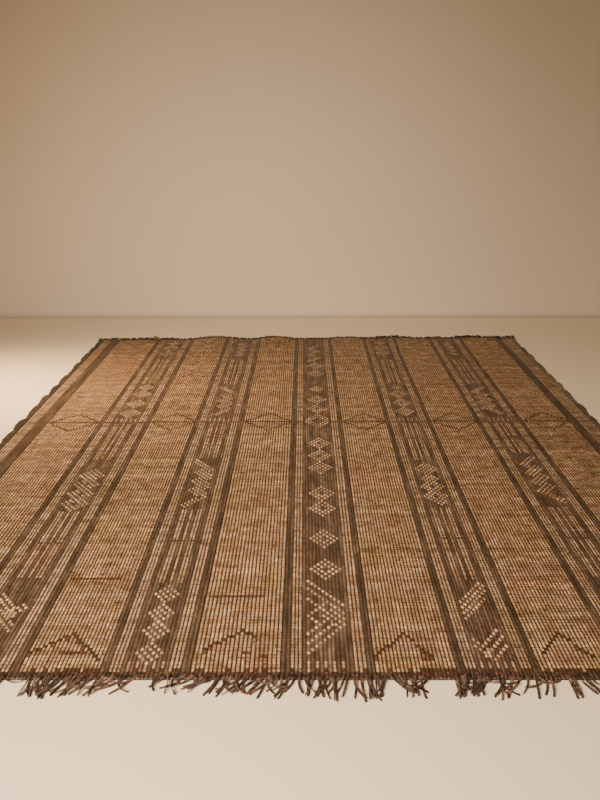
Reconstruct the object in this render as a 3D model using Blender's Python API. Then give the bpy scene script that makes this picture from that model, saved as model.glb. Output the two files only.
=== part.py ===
"""A flat floor mat of reed and leather: a ribbed woven sheet, a leather heading with a
thong fringe at each end, and a laced leather binding down each side.

Sizes are in metres unless a name ends in _MM. +X runs across the mat, +Y along its ribs
from the near end to the far end, and +Z up from the floor. The origin is on the floor, in
the middle of the whole mat.
"""

import math
import random
from collections import namedtuple

import bmesh
import bpy
import numpy as np
from mathutils import Vector

# Driving dimensions: length between the outer edges of the two headings
LENGTH = 3.061
HEADING_DEPTH = 0.0245
GAP = 0.0003
MM = 0.001

# The strips side by side across the mat, left to right. A rib is one raised column of
# reed, with a leather thong sunk in the groove on each side of it.
Strip = namedtuple("Strip", "name ribs width_mm")
STRIPS = (
    Strip("binding", 0, 40.0),
    Strip("pale edge", 4, 45.0),
    Strip("dark edge", 5, 51.0),
    Strip("field", 21, 221.5),
    Strip("dark line", 2, 21.5),
    Strip("pale line", 3, 29.5),
    Strip("band", 11, 114.5),
    Strip("pale line", 3, 31.0),
    Strip("dark line", 2, 23.5),
    Strip("field", 20, 190.5),
    Strip("dark line", 2, 20.0),
    Strip("pale line", 3, 28.5),
    Strip("band", 11, 111.5),
    Strip("pale line", 3, 29.0),
    Strip("dark line", 2, 23.0),
    Strip("field", 20, 210.0),
    Strip("dark line", 2, 22.0),
    Strip("pale line", 3, 28.0),
    Strip("band", 12, 122.0),
    Strip("pale line", 3, 30.5),
    Strip("dark line", 2, 18.5),
    Strip("field", 20, 190.0),
    Strip("dark line", 2, 20.0),
    Strip("pale line", 3, 27.5),
    Strip("band", 11, 103.5),
    Strip("pale line", 3, 27.0),
    Strip("dark line", 2, 19.0),
    Strip("field", 20, 192.5),
    Strip("dark line", 2, 20.5),
    Strip("pale line", 3, 28.5),
    Strip("band", 11, 106.5),
    Strip("pale line", 3, 28.5),
    Strip("dark line", 2, 21.0),
    Strip("field", 20, 196.0),
    Strip("dark edge", 4, 39.0),
    Strip("pale edge", 5, 56.0),
    Strip("binding", 0, 33.0),
)
WIDTH = sum(strip.width_mm for strip in STRIPS) * MM

# Heights above the underside
GROOVE_HEIGHT = 0.0030
RIB_HEIGHT = 0.0046
HEADING_HEIGHT = 0.0052
BINDING_HEIGHT = 0.0060

# How the mat lies. Its right half fans out towards the near end, both ends run a little
# askew, and shallow ripples lift the far end of the fields off the floor.
FAN = 0.027
FAN_LEVEL = 0.27
FAN_FROM = -0.45
FAN_TO = 0.35
NEAR_SKEW = 0.0136
FAR_SKEW = 0.0392
RIPPLE_REACH = 0.32
RIPPLE_BULGE = 1.1
RIPPLE_ROWS = (0.0, 0.55)
Ripple = namedtuple("Ripple", "centre half_width rise")
RIPPLES = (
    Ripple(-0.55, 0.20, 0.011),
    Ripple(-0.20, 0.17, 0.011),
    Ripple(0.25, 0.16, 0.006),
    Ripple(0.55, 0.16, 0.006),
    Ripple(1.01, 0.18, 0.005),
)
RIBS_PER_STATION = 5

# The fringe: one thong for every second rib. At the far end they show much shorter.
THONG_LENGTH = 0.058
FAR_THONG_LENGTH = 0.034
THONG_WIDTH = 0.0054
THONG_HEIGHT = 0.0021
THONG_LEAN = math.radians(16)
THONG_LEAN_STEP = 0.5
BINDING_CELLS = (4, 3)

# The side bindings: overlapping leather lobes, each widest at its far end
LOBES = 18
LOBE_NARROW = 0.60


def rib_edges():
    """The edges of all ribs across the mat, from the left binding to the right one."""
    edges = [-WIDTH / 2 + STRIPS[0].width_mm * MM]
    for strip in STRIPS[1:-1]:
        start = edges[-1]
        pitch = strip.width_mm * MM / strip.ribs
        edges += [start + pitch * (i + 1) for i in range(strip.ribs)]
    return edges


EDGES = rib_edges()
STATIONS = [-WIDTH / 2] + EDGES[::RIBS_PER_STATION] + [WIDTH / 2]


def ripple(x):
    """The rise of the far end at x."""
    rise = 0.0
    for r in RIPPLES:
        offset = abs(x - r.centre) / r.half_width
        if offset < 1:
            rise += r.rise * 0.5 * (1 + math.cos(math.pi * offset))
    return rise


STATION_RISE = [ripple(x) for x in STATIONS]


def smooth_step(t):
    t = min(max(t, 0.0), 1.0)
    return t * t * (3 - 2 * t)


def lift(x, s):
    """How far the underside is off the floor, x across and s along the mat."""
    start = LENGTH - RIPPLE_REACH
    rise = float(np.interp(x, STATIONS, STATION_RISE))
    return rise * smooth_step((s - start) / RIPPLE_REACH)


def lay(x, s, z):
    """The place of a point of the flat pattern once the mat lies on the floor."""
    fan = FAN * (FAN_LEVEL - s / LENGTH) * smooth_step((x - FAN_FROM) / (FAN_TO - FAN_FROM))
    near = -LENGTH / 2 + NEAR_SKEW * x / WIDTH
    bulge = RIPPLE_BULGE * float(np.interp(x, STATIONS, STATION_RISE))
    far = LENGTH / 2 + FAR_SKEW * x / WIDTH + bulge
    return x + fan, near + (far - near) * s / LENGTH, z + lift(x, s)


def material(name, colour, roughness):
    mat = bpy.data.materials.new(name)
    mat.use_nodes = True
    shader = mat.node_tree.nodes["Principled BSDF"]
    shader.inputs["Base Color"].default_value = (*colour, 1.0)
    shader.inputs["Roughness"].default_value = roughness
    shader.inputs["Metallic"].default_value = 0.0
    return mat


def add_part(name, bm, mat, parts):
    bmesh.ops.recalc_face_normals(bm, faces=bm.faces[:])
    mesh = bpy.data.meshes.new(name)
    bm.to_mesh(mesh)
    bm.free()
    obj = bpy.data.objects.new(name, mesh)
    obj.data.materials.append(mat)
    parts.objects.link(obj)
    mesh.shade_smooth()
    mesh.set_sharp_from_angle(angle=math.radians(20))
    return obj


def woven_mat(mat, parts):
    """The ribbed sheet: its section is extruded along the ribs, then laid on the floor."""
    bm = bmesh.new()
    under = [bm.verts.new((x, 0, 0)) for x in EDGES[::RIBS_PER_STATION]]
    over = []
    for left, right in zip(EDGES, EDGES[1:]):
        over.append(bm.verts.new((left, 0, GROOVE_HEIGHT)))
        over.append(bm.verts.new(((left + right) / 2, 0, RIB_HEIGHT)))
    over.append(bm.verts.new((EDGES[-1], 0, GROOVE_HEIGHT)))
    step = 2 * RIBS_PER_STATION
    for i in range(len(under) - 1):
        top = over[i * step:(i + 1) * step + 1]
        bm.faces.new([under[i], under[i + 1]] + top[::-1])

    start = HEADING_DEPTH + GAP
    end = LENGTH - HEADING_DEPTH - GAP
    section = bm.faces[:]
    extruded = bmesh.ops.extrude_face_region(bm, geom=section)["geom"]
    moved = [v for v in extruded if isinstance(v, bmesh.types.BMVert)]
    bmesh.ops.translate(bm, verts=moved, vec=(0, end - start, 0))
    bmesh.ops.translate(bm, verts=bm.verts[:], vec=(0, start, 0))
    for share in RIPPLE_ROWS:
        row = LENGTH - RIPPLE_REACH * (1 - share)
        everything = bm.verts[:] + bm.edges[:] + bm.faces[:]
        bmesh.ops.bisect_plane(bm, geom=everything, plane_co=(0, row, 0), plane_no=(0, 1, 0))
    for vert in bm.verts:
        vert.co = lay(*vert.co)
    return add_part("woven_mat", bm, mat, parts)


def thong_rings(index, edge_left, edge_right, full_length, rng):
    """Offset, reach, width and height of a thong's rings, out from the heading."""
    lean = THONG_LEAN * math.sin(index * THONG_LEAN_STEP) + math.radians(rng.uniform(-3, 3))
    length = full_length * rng.uniform(0.78, 1.0)
    curl = rng.uniform(-0.0015, 0.0015)
    middle = (edge_left + edge_right) / 2
    tip = length * math.sin(lean)
    reach = length * math.cos(lean)
    return (
        (middle, 0.005, THONG_WIDTH * 1.15, THONG_HEIGHT * 1.4),
        (middle + 0.45 * tip + curl, 0.45 * reach, THONG_WIDTH, THONG_HEIGHT),
        (middle + tip, reach, THONG_WIDTH * 0.8, THONG_HEIGHT * 0.8),
    )


def fringe(name, far_end, seed, mat, parts):
    """A heading strip with the thongs drawn out of its outer wall, one cell in two."""
    rng = random.Random(seed)
    left_cells, right_cells = BINDING_CELLS
    xs = list(np.linspace(-WIDTH / 2, EDGES[0], left_cells + 1)[:-1]) + EDGES
    xs += list(np.linspace(EDGES[-1], WIDTH / 2, right_cells + 1)[1:])
    outer = LENGTH if far_end else 0.0
    out = 1 if far_end else -1
    full_length = FAR_THONG_LENGTH if far_end else THONG_LENGTH

    bm = bmesh.new()
    bmesh.ops.create_grid(bm, x_segments=len(xs) - 1, y_segments=1, size=0.5)
    for vert in bm.verts:
        column = round((vert.co.x + 0.5) * (len(xs) - 1))
        inside = (vert.co.y + 0.5) if not far_end else (0.5 - vert.co.y)
        vert.co = (xs[column], outer - out * HEADING_DEPTH * inside, 0)
    flat = bmesh.ops.extrude_face_region(bm, geom=bm.faces[:])["geom"]
    raised = [v for v in flat if isinstance(v, bmesh.types.BMVert)]
    bmesh.ops.translate(bm, verts=raised, vec=(0, 0, HEADING_HEIGHT))
    bmesh.ops.recalc_face_normals(bm, faces=bm.faces[:])

    wall = [f for f in bm.faces if f.normal.y * out > 0.5]
    wall.sort(key=lambda f: f.calc_center_median().x)
    laid = {v: lay(*v.co) for v in bm.verts}
    for index, face in enumerate(wall[1::2]):
        left = min(v.co.x for v in face.verts)
        right = max(v.co.x for v in face.verts)
        root_lift = lift((left + right) / 2, outer)
        rings = thong_rings(index, left, right, full_length, rng)
        for offset, reach, width, height in rings:
            low = min(v.co.z for v in face.verts)
            middle = sum(v.co.x for v in face.verts) / 4
            face = bmesh.ops.extrude_discrete_faces(bm, faces=[face])["faces"][0]
            drop = root_lift * max(0.0, 1 - reach / (0.4 * full_length))
            for v in face.verts:
                side = 1 if v.co.x > middle else -1
                top = v.co.z > low + 0.1 * THONG_HEIGHT
                v.co = (offset + side * width / 2, outer, height if top else 0)
                x, y, _ = lay(v.co.x, outer, 0)
                laid[v] = (x, y + out * reach, v.co.z + drop)
    for vert, place in laid.items():
        vert.co = place
    return add_part(name, bm, mat, parts)


def lobed_outline(near, far, narrow, wide, rng):
    """Outline points (distance out, distance along) of a row of overlapping lobes."""
    lengths = [rng.uniform(0.7, 1.45) for _ in range(LOBES)]
    scale = (far - near) / sum(lengths)
    points = []
    start = near
    for length in lengths:
        end = start + length * scale
        full = wide * rng.uniform(0.86, 1.0)
        points += [
            (narrow, start),
            (narrow + 0.55 * (full - narrow), start + 0.45 * (end - start)),
            (full, start + 0.82 * (end - start)),
            (full * 0.93, end - 0.012),
        ]
        start = end
    points.append((narrow, far))
    return points


def binding(name, side, seed, mat, parts):
    """One side's lacing: a flat outline with a lobed outer edge, of even thickness."""
    rng = random.Random(seed)
    wide = (STRIPS[0] if side < 0 else STRIPS[-1]).width_mm * MM
    inner = (EDGES[0] if side < 0 else EDGES[-1]) + side * GAP
    near = HEADING_DEPTH + GAP
    far = LENGTH - HEADING_DEPTH - GAP
    outline = [(inner, near)]
    for out, along in lobed_outline(near, far, wide * LOBE_NARROW, wide - GAP, rng):
        outline.append((inner + side * out, along))
    outline.append((inner, far))

    curve = bpy.data.curves.new(name, "CURVE")
    curve.dimensions = "2D"
    curve.fill_mode = "BOTH"
    curve.extrude = BINDING_HEIGHT / 2
    spline = curve.splines.new("POLY")
    spline.points.add(len(outline) - 1)
    spline.use_cyclic_u = True
    for point, (x, s) in zip(spline.points, outline):
        flat_x, flat_y, _ = lay(x, s, 0)
        point.co = (flat_x, flat_y, 0, 1)
    curve.materials.append(mat)
    obj = bpy.data.objects.new(name, curve)
    obj.location.z = BINDING_HEIGHT / 2
    parts.objects.link(obj)
    return obj


def centre_on_origin(objects):
    """Shift the pieces together so that the middle of their box is over the origin."""
    bpy.context.view_layer.update()
    corners = [obj.matrix_world @ Vector(c) for obj in objects for c in obj.bound_box]
    middle_x = (min(c.x for c in corners) + max(c.x for c in corners)) / 2
    middle_y = (min(c.y for c in corners) + max(c.y for c in corners)) / 2
    for obj in objects:
        obj.location.x -= middle_x
        obj.location.y -= middle_y


for old in list(bpy.data.objects):
    bpy.data.objects.remove(old, do_unlink=True)
mat_parts = bpy.data.collections.new("reed and leather mat")
bpy.context.scene.collection.children.link(mat_parts)

reed = material("split reed", (0.47, 0.29, 0.14), 0.6)
leather = material("brown leather", (0.13, 0.065, 0.035), 0.55)
centre_on_origin([
    woven_mat(reed, mat_parts),
    fringe("fringe_near", False, 11, leather, mat_parts),
    fringe("fringe_far", True, 12, leather, mat_parts),
    binding("binding_left", -1, 13, leather, mat_parts),
    binding("binding_right", 1, 14, leather, mat_parts),
])
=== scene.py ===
"""Looks of a flat floor mat woven of split reed and leather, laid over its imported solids.

Sizes are in metres unless a name ends in mm, and angles in radians unless it ends in deg.
+X runs across the mat, +Y along its ribs from the near end to the far one, and +Z up from
the floor.
"""

import math
import random
from collections import namedtuple
from functools import partial

import bpy
import numpy as np
from mathutils import Euler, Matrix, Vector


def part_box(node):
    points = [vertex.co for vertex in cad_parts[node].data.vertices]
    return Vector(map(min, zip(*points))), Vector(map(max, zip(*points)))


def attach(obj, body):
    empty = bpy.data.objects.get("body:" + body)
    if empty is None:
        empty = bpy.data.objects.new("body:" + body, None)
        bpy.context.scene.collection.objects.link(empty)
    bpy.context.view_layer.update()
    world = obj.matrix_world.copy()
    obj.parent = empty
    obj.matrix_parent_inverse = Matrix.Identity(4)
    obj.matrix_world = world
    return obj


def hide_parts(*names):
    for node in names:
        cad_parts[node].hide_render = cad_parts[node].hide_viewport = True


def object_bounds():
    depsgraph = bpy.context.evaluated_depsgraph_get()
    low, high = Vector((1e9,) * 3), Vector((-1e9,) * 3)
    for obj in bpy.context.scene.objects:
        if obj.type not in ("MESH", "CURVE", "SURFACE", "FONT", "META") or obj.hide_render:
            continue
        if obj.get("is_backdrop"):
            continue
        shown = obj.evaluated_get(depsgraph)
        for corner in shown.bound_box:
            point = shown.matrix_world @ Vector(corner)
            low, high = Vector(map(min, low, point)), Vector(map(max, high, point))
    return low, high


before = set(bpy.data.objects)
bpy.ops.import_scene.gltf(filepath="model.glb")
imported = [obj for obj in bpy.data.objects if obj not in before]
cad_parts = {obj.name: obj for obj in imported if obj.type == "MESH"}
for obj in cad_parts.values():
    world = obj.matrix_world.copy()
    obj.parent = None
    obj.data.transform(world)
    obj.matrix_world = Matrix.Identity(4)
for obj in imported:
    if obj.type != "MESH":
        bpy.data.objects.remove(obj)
cad_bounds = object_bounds()


# The plan of the mat. Strips of ribs lie side by side across it: plain fields of pale reed,
# pale and dark lines, and five patterned bands. A rib is one column of reed bundles, held
# down between two leather thongs, and a row is one bundle with its turn of the thongs.
MM = 0.001
LENGTH = 3.061
HEADING_DEPTH = 0.0245
GAP = 0.0003
ROWS = 239
Panel = namedtuple("Panel", "name kinds ribs widths_mm")
BAND = ("dark", "pale", "band", "pale", "dark")
PANELS = (
    Panel("binding_left", ("binding",), (0,), (40.0,)),
    Panel("edge_left", ("pale", "dark"), (4, 5), (45.0, 51.0)),
    Panel("field_1", ("field",), (21,), (221.5,)),
    Panel("band_1", BAND, (2, 3, 11, 3, 2), (21.5, 29.5, 114.5, 31.0, 23.5)),
    Panel("field_2", ("field",), (20,), (190.5,)),
    Panel("band_2", BAND, (2, 3, 11, 3, 2), (20.0, 28.5, 111.5, 29.0, 23.0)),
    Panel("field_3", ("field",), (20,), (210.0,)),
    Panel("band_3", BAND, (2, 3, 12, 3, 2), (22.0, 28.0, 122.0, 30.5, 18.5)),
    Panel("field_4", ("field",), (20,), (190.0,)),
    Panel("band_4", BAND, (2, 3, 11, 3, 2), (20.0, 27.5, 103.5, 27.0, 19.0)),
    Panel("field_5", ("field",), (20,), (192.5,)),
    Panel("band_5", BAND, (2, 3, 11, 3, 2), (20.5, 28.5, 106.5, 28.5, 21.0)),
    Panel("field_6", ("field",), (20,), (196.0,)),
    Panel("edge_right", ("dark", "pale"), (4, 5), (39.0, 56.0)),
    Panel("binding_right", ("binding",), (0,), (33.0,)),
)
Strip = namedtuple("Strip", "kind ribs width_mm")
STRIPS = [
    Strip(*facts)
    for panel in PANELS
    for facts in zip(panel.kinds, panel.ribs, panel.widths_mm)
]
WIDTH = sum(strip.width_mm for strip in STRIPS) * MM
RIBS = sum(strip.ribs for strip in STRIPS)
WOVEN_START = HEADING_DEPTH + GAP
ROW = (LENGTH - 2 * WOVEN_START) / ROWS


def rib_edges():
    """The edges of all ribs across the mat, from the left binding to the right one."""
    edges = [-WIDTH / 2 + STRIPS[0].width_mm * MM]
    for strip in STRIPS[1:-1]:
        start = edges[-1]
        pitch = strip.width_mm * MM / strip.ribs
        edges += [start + pitch * (i + 1) for i in range(strip.ribs)]
    return np.array(edges)


EDGES = rib_edges()

# How the mat lies. Its right half fans out towards the near end, both ends run a little
# askew, and shallow ripples lift the far end of the fields off the floor.
FAN = 0.027
FAN_LEVEL = 0.27
FAN_FROM = -0.45
FAN_TO = 0.35
NEAR_SKEW = 0.0136
FAR_SKEW = 0.0392
RIPPLE_REACH = 0.32
RIPPLE_BULGE = 1.1
Ripple = namedtuple("Ripple", "centre half_width rise")
RIPPLES = (
    Ripple(-0.55, 0.20, 0.011),
    Ripple(-0.20, 0.17, 0.011),
    Ripple(0.25, 0.16, 0.006),
    Ripple(0.55, 0.16, 0.006),
    Ripple(1.01, 0.18, 0.005),
)


def smooth_step(t):
    t = np.clip(t, 0.0, 1.0)
    return t * t * (3 - 2 * t)


def ripple(x):
    """The rise of the far end at x."""
    rise = np.zeros_like(x)
    for r in RIPPLES:
        offset = np.minimum(np.abs(x - r.centre) / r.half_width, 1.0)
        rise = rise + r.rise * 0.5 * (1 + np.cos(np.pi * offset))
    return rise


def lay(points):
    """Lays flat points (across, along, up) on the floor, in the plan's own frame."""
    x, s, z = np.asarray(points, float).T
    fan = FAN * (FAN_LEVEL - s / LENGTH) * smooth_step((x - FAN_FROM) / (FAN_TO - FAN_FROM))
    near = -LENGTH / 2 + NEAR_SKEW * x / WIDTH
    far = LENGTH / 2 + FAR_SKEW * x / WIDTH + RIPPLE_BULGE * ripple(x)
    lift = ripple(x) * smooth_step((s - LENGTH + RIPPLE_REACH) / RIPPLE_REACH)
    return np.stack((x + fan, near + (far - near) * s / LENGTH, z + lift), axis=1)


# The plan's frame has the flat mat's middle at zero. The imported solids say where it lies.
plan_corner = lay([(EDGES[0], WOVEN_START, 0.0)])[0]
packed_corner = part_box("woven_mat")[0]
SHIFT = np.array((packed_corner[0] - plan_corner[0], packed_corner[1] - plan_corner[1], 0.0))


def lay_mesh(mesh):
    """Lays a mesh made in flat sizes on the floor, in the object's frame."""
    flat = np.empty(len(mesh.vertices) * 3, np.float32)
    mesh.vertices.foreach_get("co", flat)
    laid = lay(flat.reshape(-1, 3)) + SHIFT
    mesh.vertices.foreach_set("co", laid.astype(np.float32).ravel())
    mesh.update()


# The chart of the weave, one cell for each rib and row. Dark cells are leather that floats
# over the reed. Figures are reed dots left showing in leather, each row one rib further
# along, and dark chevrons in the fields are single turns of leather over the reed.
# The cut edge kind marks the end faces of the slabs, which the materials colour as leather in
# painted shade.
REED, PALE_REED, LEATHER_SPOT, LEATHER_PICK, SHADED_CUT_EDGE, LEATHER, LINE_LEATHER = range(7)
REED_DOT = 9
chart = np.zeros((RIBS, ROWS), int)
STRIP_CELLS = {"field": REED, "pale": PALE_REED, "dark": LINE_LEATHER, "band": LEATHER}

# The first rib of each band, and the ribs of each field, by their numbers from the left
BAND_RIB = {}
FIELD_RIBS = {}
rib = 0
for strip in STRIPS:
    if strip.kind != "binding":
        chart[rib:rib + strip.ribs] = STRIP_CELLS[strip.kind]
    if strip.kind == "band":
        BAND_RIB[len(BAND_RIB) + 1] = rib
    if strip.kind == "field":
        FIELD_RIBS[len(FIELD_RIBS) + 1] = (rib, strip.ribs)
    rib += strip.ribs

# Lengthwise stripes of reed in the side bands, each run broken by one dark row
LIGHT_RIBS = (2, 3, 5, 7, 8)
Stripes = namedtuple("Stripes", "band start end break_row")
STRIPES = (
    Stripes(1, 32, 64, 47),
    Stripes(1, 98, 128, 115),
    Stripes(1, 172, 206, 188),
    Stripes(2, 30, 65, 48),
    Stripes(2, 99, 128, 115),
    Stripes(2, 171, 205, 188),
    Stripes(4, 31, 66, 49),
    Stripes(4, 97, 128, 114),
    Stripes(4, 171, 204, 187),
    Stripes(5, 32, 66, 49),
    Stripes(5, 102, 128, 114),
    Stripes(5, 170, 204, 186),
)
for run in STRIPES:
    for light in LIGHT_RIBS:
        chart[BAND_RIB[run.band] + light, run.start:run.end] = PALE_REED
    ribs = slice(BAND_RIB[run.band], BAND_RIB[run.band] + LIGHT_RIBS[-1] + 2)
    chart[ribs, run.break_row] = LEATHER

# Short bars of reed on every other rib: at both ends of a band, and beyond the cross line
Bars = namedtuple("Bars", "start end centre_band")
BARS = (Bars(0, 3, True), Bars(130, 133, False), Bars(236, 239, True))
CENTRE_BAND = 3
for bars in BARS:
    for band, first in BAND_RIB.items():
        if band != CENTRE_BAND or bars.centre_band:
            chart[first + 1:first + 11:2, bars.start:bars.end] = PALE_REED

# The last rib of each band that a dot may take
LAST_DOT_RIB = {1: 9, 2: 8, 3: 10, 4: 9, 5: 9}


def reed_dot(band, rib, row):
    """Leaves one cell of reed showing in a band's leather, inside its outer ribs."""
    if 1 <= rib <= LAST_DOT_RIB[band] and 0 <= row < ROWS:
        chart[BAND_RIB[band] + rib, row] = REED_DOT


# Diamonds of reed dots: the rib and the rows of their middles, their reach to a corner, and
# the reach of the dark eye in the middle
Diamonds = namedtuple("Diamonds", "band rib rows reach eye")
DIAMONDS = (
    Diamonds(1, 5, (68, 74, 80, 224), 4, 1),
    Diamonds(1, 5, (86, 138, 148, 159, 215), 4, 0),
    Diamonds(1, 5, (167,), 3, 1),
    Diamonds(1, 5, (232,), 3, 0),
    Diamonds(2, 5, (5, 12, 18, 25), 3, 0),
    Diamonds(3, 6, (35, 49, 65, 74, 100, 110, 142, 152, 184, 195), 4, 1),
    Diamonds(3, 6, (91,), 4, 0),
    Diamonds(3, 6, (130,), 6, 4),
    Diamonds(3, 6, (164,), 3, 1),
    Diamonds(4, 5, (72, 78, 148, 158), 4, 1),
    Diamonds(4, 5, (90, 139), 4, 0),
    Diamonds(4, 5, (83, 231), 3, 0),
    Diamonds(4, 5, (166,), 2, 0),
    Diamonds(4, 6, (69,), 2, 0),
    Diamonds(4, 4, (214,), 4, 0),
    Diamonds(4, 4, (223,), 4, 1),
    Diamonds(5, 5, (6, 12, 19, 25), 3, 0),
)
for d in DIAMONDS:
    for across in range(-d.reach, d.reach + 1):
        for along in range(-d.reach, d.reach + 1):
            out = abs(across) + abs(along)
            if d.eye <= out <= d.reach and (out - d.reach) % 2 == 0:
                for row in d.rows:
                    reed_dot(d.band, d.rib + across, row + along)

# Slanting lines of reed dots, one rib a row, from the left: rise is +1 or -1
Slant = namedtuple("Slant", "band rib row dots rise")
SLANTS = (
    Slant(1, 1, 25, 6, -1),
    Slant(1, 1, 23, 7, -1),
    Slant(1, 1, 21, 8, -1),
    Slant(1, 1, 19, 8, -1),
    Slant(1, 5, 18, 4, 1),
    Slant(1, 6, 17, 4, 1),
    Slant(1, 1, 12, 5, -1),
    Slant(1, 1, 10, 6, -1),
    Slant(1, 1, 8, 5, -1),
    Slant(2, 1, 67, 5, 1),
    Slant(2, 2, 66, 7, 1),
    Slant(2, 1, 95, 5, -1),
    Slant(2, 1, 97, 7, -1),
    Slant(3, 1, 30, 10, -1),
    Slant(3, 1, 27, 10, -1),
    Slant(3, 1, 23, 10, -1),
    Slant(3, 1, 17, 5, 1),
    Slant(3, 7, 19, 4, -1),
    Slant(3, 5, 17, 4, -1),
    Slant(3, 2, 16, 3, -1),
    Slant(3, 1, 11, 9, 1),
    Slant(3, 1, 8, 7, 1),
    Slant(3, 1, 5, 10, 1),
    Slant(4, 1, 16, 8, 1),
    Slant(4, 1, 18, 9, 1),
    Slant(4, 1, 20, 9, 1),
    Slant(4, 1, 22, 8, 1),
    Slant(4, 1, 9, 4, -1),
    Slant(4, 1, 7, 5, -1),
    Slant(4, 2, 6, 7, 1),
    Slant(4, 3, 4, 7, 1),
    Slant(4, 5, 3, 5, 1),
)
for line in SLANTS:
    for dot in range(line.dots):
        reed_dot(line.band, line.rib + dot, line.row + dot * line.rise)

# Zigzags of reed dots: each leg is so many ribs to the right, or to the left if negative,
# and the strands lie side by side two ribs apart
Zigzag = namedtuple("Zigzag", "band rib row legs strands")
ZIGZAGS = (
    Zigzag(2, 5, 73, (-3, 3, -3, 3, -3, 3), 3),
    Zigzag(2, 1, 136, (7,), 2),
    Zigzag(2, 5, 142, (-3, 3, -3, 3, -3, 3), 3),
    Zigzag(2, 7, 160, (-7,), 2),
    Zigzag(2, 3, 211, (3, -3, 3, -3, 3, -3, 3), 2),
    Zigzag(3, 2, 202, (5, -5, 5, -5, 5), 2),
    Zigzag(5, 9, 68, (-7,), 2),
    Zigzag(5, 2, 75, (3, -3, 3, -3, 3, -3), 3),
    Zigzag(5, 2, 93, (6,), 2),
    Zigzag(5, 8, 136, (-7,), 2),
    Zigzag(5, 1, 142, (3, -3, 3, -3, 3, -3), 3),
    Zigzag(5, 1, 160, (7,), 2),
    Zigzag(5, 5, 211, (-3, 3, -3, 3, -3, 3, -3), 2),
)
for z in ZIGZAGS:
    at, row = z.rib, z.row
    for leg in z.legs:
        for _ in range(abs(leg)):
            for strand in range(z.strands):
                reed_dot(z.band, at + 2 * strand, row)
            at += 1 if leg > 0 else -1
            row += 1

# One dark pick crosses the whole mat, and each field has a chevron at its far end and a
# flat diamond about the cross line
CROSS_ROW = 129
CHEVRON_REACH = 10
DIAMOND_REACH = 8
for first, count in FIELD_RIBS.values():
    middle = first + count // 2
    for across in range(count):
        away = abs(first + across - middle)
        down = min(round(away * CHEVRON_REACH / (count / 2)), CHEVRON_REACH)
        chart[first + across, ROWS - 1 - CHEVRON_REACH + down] = LEATHER_SPOT
        rise = round(DIAMOND_REACH * (1 - away / (count / 2)))
        chart[first + across, CROSS_ROW + rise] = LEATHER_SPOT
        chart[first + across, CROSS_ROW - rise] = LEATHER_SPOT
crossed = np.isin(chart[:, CROSS_ROW], (REED, PALE_REED))
chart[crossed, CROSS_ROW] = LEATHER_SPOT

# Each field's chevron at the near end has two uneven arms: its tip, and how many ribs and
# rows each arm runs. A few turns of an arm are doubled
hand = random.Random(21)
Chevron = namedtuple("Chevron", "field rib row left left_rows right right_rows")
NEAR_CHEVRONS = (
    Chevron(1, 10, 11, 8, 7, 8, 7),
    Chevron(2, 9, 11, 9, 6, 9, 8),
    Chevron(3, 10, 12, 8, 6, 3, 2),
    Chevron(4, 8, 11, 8, 7, 6, 7),
    Chevron(5, 8, 11, 6, 6, 6, 7),
    Chevron(6, 9, 11, 7, 7, 7, 7),
)
DOUBLED = 0.2
for c in NEAR_CHEVRONS:
    tip = FIELD_RIBS[c.field][0] + c.rib
    for away in range(-c.left, c.right + 1):
        slope = c.left_rows / c.left if away < 0 else c.right_rows / c.right
        row = c.row - round(abs(away) * slope)
        chart[tip + away, row] = LEATHER_SPOT
        if hand.random() < DOUBLED:
            chart[tip + away, row - 1] = LEATHER_PICK

# Where the reed meets the headings, some thongs turn a row early, more in some stretches
USUAL_SHARE = 0.3
EarlyTurns = namedtuple("EarlyTurns", "start end share")
EARLY_TURNS = (
    EarlyTurns(-0.58, -0.48, 0.9),
    EarlyTurns(-0.33, -0.30, 0.9),
    EarlyTurns(0.16, 0.20, 0.8),
    EarlyTurns(0.26, 1.30, 0.8),
)
for rib in range(RIBS):
    shares = [run.share for run in EARLY_TURNS if run.start < EDGES[rib] < run.end]
    for row in (0, ROWS - 1):
        share = max(shares, default=USUAL_SHARE) if row == 0 else USUAL_SHARE
        if hand.random() < share and chart[rib, row] in (REED, PALE_REED):
            chart[rib, row] = LEATHER_SPOT

# Loose dark picks that run part of the way across a field
Pick = namedtuple("Pick", "field rib ribs row")
PICKS = (
    Pick(2, 1, 15, 31),
    Pick(2, 8, 7, 5),
    Pick(3, 1, 14, 24),
    Pick(3, 11, 2, 5),
    Pick(3, 15, 2, 4),
    Pick(4, 12, 3, 3),
    Pick(5, 2, 15, 169),
)
for pick in PICKS:
    first = FIELD_RIBS[pick.field][0] + pick.rib
    chart[first:first + pick.ribs, pick.row] = LEATHER_PICK

# The woven panels. Each is a closed slab, and its top has three faces a rib and two a row.
# A rule raises the ribs between the sunk thongs and dips them where the rows meet, so the
# reed stands proud of the leather, as it does on the real mat.
GROOVE_HEIGHT = 0.0030
RIB_HEIGHT = 0.0047
RIB_SHOULDER = 0.24
UNDER_ROWS = 5
BORDER_DEG = 78
PANEL_SEED = 5.0
SQUEEZED_ROWS = 1.2

# Two kinds of cell are the same when their numbers are this close. LEATHER stands between the cut
# edge kind and LINE_LEATHER on the list, and all three are coloured as leather, the cut edges as
# leather in painted shade.
SAME_KIND = 0.4
ANY_LEATHER = 1.4


def put_in_scene(name, data):
    obj = bpy.data.objects.new(name, data)
    bpy.context.scene.collection.objects.link(obj)
    return obj


def store(mesh, name, kind, domain, values):
    """Keeps a value for each point or face of a mesh, under a name."""
    mesh.attributes.new(name, kind, domain).data.foreach_set("value", values)


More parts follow.
